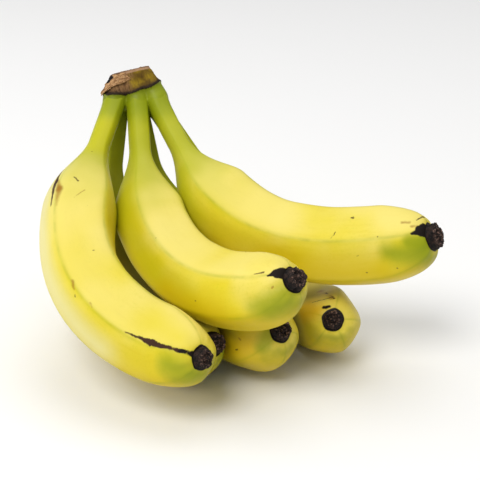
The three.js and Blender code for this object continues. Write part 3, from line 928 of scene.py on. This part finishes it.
def peel_material(name):
    f = fingers[name]
    n = Nodes("peel_" + name)
    place = n.attribute("straight", vector=True)
    from_crown, from_end = n.attribute("from_crown"), n.attribute("from_end")
    ridge, gap, faces_up = n.attribute("ridge"), n.attribute("gap"), n.attribute("faces_up")
    pattern = n.vector("ADD", place, (f.seed * PATTERN_SHIFT * MM, 0, 0))
    broad = n.noise(pattern, BROAD_SIZE, 2)
    middle = n.noise(pattern, MIDDLE_SIZE)
    streaks = n.noise(n.vector("MULTIPLY", pattern, (1, 1, STREAK_STRETCH)), STREAK_SIZE)
    pores = n.noise(pattern, PORE_SIZE, 3, 0.6)

    # yellow, uneven
    colour = n.tint(YELLOW, PALE_YELLOW, n.step(broad, 0.35, 0.72), 0.55)
    colour = n.tint(colour, DEEP_YELLOW, n.step(middle, 0.5, 0.8), 0.14)
    colour = n.tint(colour, DEEP_YELLOW, n.step(streaks, 0.45, 0.75), 0.2)
    colour = n.tint(colour, GREEN_YELLOW, n.step(pores, 0.5, 0.75), 0.22)

    # painted highlight: paler on the faces that look up, in patches; painted shade: deeper yellow on those
    # that look down
    painted_highlight = n.step(n.noise(pattern, HIGHLIGHT_PATCH_SIZE, 1), 0.25, 0.6)
    painted_highlight = n.math("MULTIPLY", n.step(faces_up, 0.4, 0.95), painted_highlight)
    colour = n.tint(colour, PALE_YELLOW, painted_highlight, 0.75)
    colour = n.tint(colour, DEEP_YELLOW, n.step(faces_up, 0.35, -0.55), 0.75)

    # greener against a neighbour, and painted shade in dark green between fingers: wide where the back row is
    # hidden between others, only where they touch in the front row
    hidden = f.root @ back_step > 0
    colour = n.tint(colour, GREEN_YELLOW, n.step_mm(gap, *NEAR_GREEN), 0.6)
    gap_shade = n.step_mm(gap, *(HIDDEN_SHADE if hidden else TOUCHING_SHADE))
    gap_shade = n.math("MULTIPLY", gap_shade, n.step_mm(from_end, *SHADE_FROM_END))
    colour = n.tint(colour, PAINTED_SHADE_GREEN, gap_shade, 0.8)

    # greener along the ridges, on the stem and round the flower end
    colour = n.tint(colour, SHADE_GREEN, ridge, 0.2)
    line = n.math("MULTIPLY", n.ridge_line(place), n.step(middle, 0.35, 0.65))
    colour = n.tint(colour, SHADE_GREEN, line, 0.25)
    neck = n.step_mm(n.shifted(from_crown, broad, NECK_WAVER * MM), *NECK_GREEN)
    colour = n.tint(colour, STEM_GREEN, neck, 0.85)
    top = n.step_mm(n.shifted(from_crown, broad, NECK_WAVER * MM / 2), *TOP_GREEN)
    colour = n.tint(colour, CROWN_GREEN, top, 0.7)
    tip = n.step_mm(n.shifted(from_end, middle, END_WAVER * MM), *END_GREEN)
    tip = n.math("MULTIPLY", tip, n.step(faces_up, 0.35, -0.2))
    colour = n.tint(colour, TIP_GREEN, tip, 0.6)

    # freckles, and listed marks with ragged edges, among them a painted reflection
    speck = freckles(n, pattern)
    colour = n.tint(colour, BRUISE, speck, 0.7)
    ragged = n.noise(pattern, RAGGED_SIZE, 4, 0.5, "Color")
    wander = n.vector("SCALE", n.vector("SUBTRACT", ragged, (0.5, 0.5, 0.5)), scale=MARK_WANDER * MM)
    mark_place = n.vector("ADD", place, wander)
    marked = speck
    for tint, start, end, width_start, width_end, soft, strength in MARKS[name]:
        ends = skin_place(f, *start), skin_place(f, *end)
        inside = n.capsule(mark_place, *ends, width_start, width_end, soft)
        inside = n.math("MULTIPLY", inside, strength)
        colour = n.mix(inside, colour, tint)
        if tint in (BRUISE, SCAR_BLACK):
            marked = n.math("MAXIMUM", marked, inside)

    # the skin dries dark where it meets the flower end
    collar = n.step_mm(n.shifted(from_end, middle, END_WAVER * MM / 10), *COLLAR)
    colour = n.mix(collar, colour, SCAR_BLACK)

    roughness = n.math("MULTIPLY_ADD", middle, 0.16, PEEL_ROUGHNESS)
    roughness = n.math("ADD", roughness, n.math("MULTIPLY", marked, 0.25))
    normal = n.bump(n.noise(pattern, WAVE_SIZE, 2), 0.35, 0.35)
    normal = n.bump(pores, 0.06, 0.6, normal)
    normal = n.bump(streaks, 0.10, 0.5, normal)
    normal = n.bump(marked, -0.25, 0.6, normal)
    return n.finish(colour, roughness, 0.16, normal)


# ---- Flower end, crown and torn skin ----

FLOWER_DARK = srgb(14, 9, 8)
FLOWER_BROWN = srgb(56, 39, 32)
FLOWER_RIM = srgb(136, 106, 92)
FLOWER_PIT = srgb(12, 8, 7)
OLIVE_DARK = srgb(92, 68, 14)
OLIVE_LIGHT = srgb(146, 120, 22)
TAN_DARK = srgb(84, 56, 32)
TAN_LIGHT = srgb(158, 120, 78)
FIBRE_DARK = srgb(52, 33, 14)
LOW_BROWN = srgb(66, 44, 22)
BAND_BROWN = srgb(40, 27, 14)
LIP_TAN = srgb(168, 132, 100)
ROT_BLACK = srgb(24, 20, 20)
CUT_DARK = srgb(140, 104, 76)
CUT_LIGHT = srgb(180, 146, 116)
CUT_EDGE = srgb(84, 56, 36)
TORN_DARK = srgb(112, 74, 42)
TORN_LIGHT = srgb(196, 154, 108)
TORN_PALE = srgb(206, 168, 126)
# Heights over the band's middle, and from the cut, where each tint starts and is full
BAND_TINT = (-0.7, 0)
BROWN_TINT = (0.9, 2.2)
LOW_TINT = (4.5, 1)
LIP_TINT = (CUT_HEIGHT - 2.3, CUT_HEIGHT - 1.8)
TAN_PLACES = (1, -7)  # along the row, where the crown turns from olive to tan
ROT_PLACES = (-6, -9)
ROT_HEIGHTS = (10, 14)


def flower_material():
    n = Nodes("dried_flower_skin")
    place = n.object_place()
    height, pit = n.attribute("height"), n.attribute("pit")
    colour = n.mix(n.step(n.noise(place, 2.4, 4), 0.38, 0.68), FLOWER_DARK, FLOWER_BROWN)
    rim = n.math("MULTIPLY", n.step_mm(height, 3, 4.6), n.step(n.noise(place, 1.1), 0.5, 0.66))
    colour = n.tint(colour, FLOWER_RIM, rim, 0.85)
    colour = n.mix(n.step(pit, 0.12, 0.02), colour, FLOWER_PIT)
    return n.finish(colour, 0.8, 0.3, n.bump(n.noise(place, 0.7, 5, 0.7), 0.5, 0.9))


def crown_material():
    n = Nodes("crown_skin")
    place = n.object_place()
    above, cut, out = n.attribute("above"), n.attribute("cut"), n.attribute("out")
    row, up = n.attribute("row"), n.attribute("up")
    coarse = n.noise(place, 6, 4)
    fine = n.noise(place, 1.3, 4, 0.65)
    fibres = n.noise(n.attribute("fibre", vector=True), 0.9, 3, 0.6)

    # green below the band, darkened towards it by painted shade, dark on it, olive to tan and dry above it
    green = n.mix(0.7, STEM_GREEN, CROWN_GREEN)
    green = n.tint(green, PAINTED_SHADE_GREEN, n.step_mm(above, -6, -0.5), 0.35)
    olive = n.mix(n.step(coarse, 0.32, 0.68), OLIVE_DARK, OLIVE_LIGHT)
    tan = n.mix(n.step(fibres, 0.35, 0.65), TAN_DARK, TAN_LIGHT)
    brown = n.mix(n.step_mm(n.shifted(row, coarse, 9 * MM), *TAN_PLACES), olive, tan)
    brown = n.tint(brown, FIBRE_DARK, n.step(fibres, 0.5, 0.7), 0.35)
    brown = n.tint(brown, LOW_BROWN, n.step_mm(above, *LOW_TINT), 0.6)
    ragged = n.shifted(above, fine, 1.6 * MM)
    colour = n.mix(n.step_mm(ragged, *BAND_TINT), green, BAND_BROWN)
    colour = n.mix(n.step_mm(ragged, *BROWN_TINT), colour, brown)

    # a pale torn edge round the cut, blackened at the left
    colour = n.mix(n.step_mm(n.shifted(up, fine, 0.8 * MM), *LIP_TINT), colour, LIP_TAN)
    black = n.math("MULTIPLY", n.step_mm(row, *ROT_PLACES), n.step_mm(up, *ROT_HEIGHTS))
    colour = n.mix(n.step(n.math("ADD", black, coarse), 1.28, 1.42), colour, ROT_BLACK)

    # the cut face
    face = n.mix(n.step(fine, 0.3, 0.7), CUT_DARK, CUT_LIGHT)
    face = n.tint(face, CUT_EDGE, n.step(n.shifted(out, fine, 0.3), 0.7, 0.95), 0.7)
    colour = n.mix(cut, colour, face)

    roughness = n.math("MULTIPLY_ADD", n.step_mm(above, -1, 1), 0.35, 0.45)
    dry = n.step_mm(above, -0.5, 0.5)
    normal = n.bump(n.math("MULTIPLY", coarse, dry), 0.5, 0.5)
    normal = n.bump(n.math("MULTIPLY", fibres, dry), 0.5, 0.9, normal)
    return n.finish(colour, roughness, 0.22, normal)


def torn_material():
    n = Nodes("torn_crown_skin")
    strand, far = n.attribute("strand"), n.attribute("far")
    lay = n.add("ShaderNodeCombineXYZ")
    n.feed(lay.inputs[0], n.math("MULTIPLY", strand, 3 * MM))
    n.feed(lay.inputs[1], n.math("MULTIPLY", far, 4 * MM))
    fibres = n.noise(lay.outputs[0], 0.8, 4, 0.65)
    fine = n.noise(n.object_place(), 1.2)
    colour = n.mix(n.step(fibres, 0.36, 0.64), TORN_DARK, TORN_LIGHT)
    colour = n.tint(colour, TORN_PALE, n.step(fine, 0.5, 0.7), 0.5)
    # blackened where its upper edge crosses the corner of the cut
    black = n.math("MULTIPLY", n.step(strand, -0.3, -0.8), n.step(far, 0.3, 0.45))
    black = n.math("MULTIPLY", black, n.step(far, 0.75, 0.6))
    colour = n.mix(n.step(n.math("ADD", black, fine), 1.0, 1.25), colour, ROT_BLACK)
    return n.finish(colour, 0.8, 0.2, n.bump(fibres, 0.4, 0.9))


# ---- Floor, lights and camera ----

FLOOR_HALF = 6
FLOOR_GREY = 0.9
SKY_TOP = 0.5
SKY_LEVEL = 0.3
SKY_HEIGHTS = (-0.1, 0.9)  # where the sky is SKY_LEVEL and SKY_TOP bright, 1 being straight up
CAMERA_TARGET = (0.001, 0.0577, 0.038)
CAMERA_DISTANCE = 0.7
CAMERA_RISE = 24.66
LENS = 94.2
SENSOR = 36.0


def make_floor():
    h = FLOOR_HALF
    mesh = bpy.data.meshes.new("floor")
    mesh.from_pydata([(-h, -h, 0), (h, -h, 0), (h, h, 0), (-h, h, 0)], [], [(0, 1, 2, 3)])
    floor = bpy.data.objects.new("floor", mesh)
    bpy.context.scene.collection.objects.link(floor)
    mesh.materials.append(Nodes("floor").finish((FLOOR_GREY, FLOOR_GREY, FLOOR_GREY), 0.9, 0.1))


def make_light(name, place, size, power, colour=(1, 1, 1)):
    """A disk that looks at the place that the camera looks at."""
    data = bpy.data.lights.new(name, "AREA")
    data.shape = "DISK"
    data.size = size
    data.energy = power
    data.color = colour
    light = bpy.data.objects.new(name, data)
    light.location = place
    light.rotation_euler = (Vector(CAMERA_TARGET) - Vector(place)).to_track_quat("-Z", "Y").to_euler()
    bpy.context.scene.collection.objects.link(light)


def make_sky():
    """A white dome that is brighter overhead than at the sides."""
    world = bpy.data.worlds.new("studio")
    world.use_nodes = True
    nodes = world.node_tree.nodes
    links = world.node_tree.links
    place = nodes.new("ShaderNodeTexCoord")
    parts = nodes.new("ShaderNodeSeparateXYZ")
    rise = nodes.new("ShaderNodeMapRange")
    rise.interpolation_type = "SMOOTHSTEP"
    for socket, number in zip(rise.inputs[1:5], (*SKY_HEIGHTS, SKY_LEVEL, SKY_TOP)):
        socket.default_value = number
    links.new(place.outputs["Generated"], parts.inputs[0])
    links.new(parts.outputs[2], rise.inputs[0])
    links.new(rise.outputs[0], nodes["Background"].inputs[1])
    nodes["Background"].inputs[0].default_value = (1, 1, 1, 1)
    bpy.context.scene.world = world


def make_camera():
    data = bpy.data.cameras.new("camera")
    data.lens = LENS
    data.sensor_width = SENSOR
    camera = bpy.data.objects.new("camera", data)
    target = Vector(CAMERA_TARGET)
    rise = math.radians(CAMERA_RISE)
    camera.location = target + CAMERA_DISTANCE * Vector((0, -math.cos(rise), math.sin(rise)))
    camera.rotation_euler = (target - camera.location).to_track_quat("-Z", "Y").to_euler()
    bpy.context.scene.collection.objects.link(camera)
    bpy.context.scene.camera = camera


dried_skin = flower_material()
for finger_name in FINGERS:
    make_finger(finger_name)
    make_flower_end(finger_name, dried_skin)
make_torn_skin(*make_crown())
make_floor()
make_camera()
make_light("key", (-0.45, -0.95, 1.35), 0.8, 15.5, (1.0, 0.985, 0.96))
make_light("top", (0.25, 0.3, 1.7), 1.4, 9)
make_light("left", (-1.3, 0.25, 0.45), 0.9, 5)
make_sky()
bpy.context.scene.view_settings.view_transform = "Standard"
bpy.context.scene.view_settings.look = "None"

bpy.context.view_layer.update()
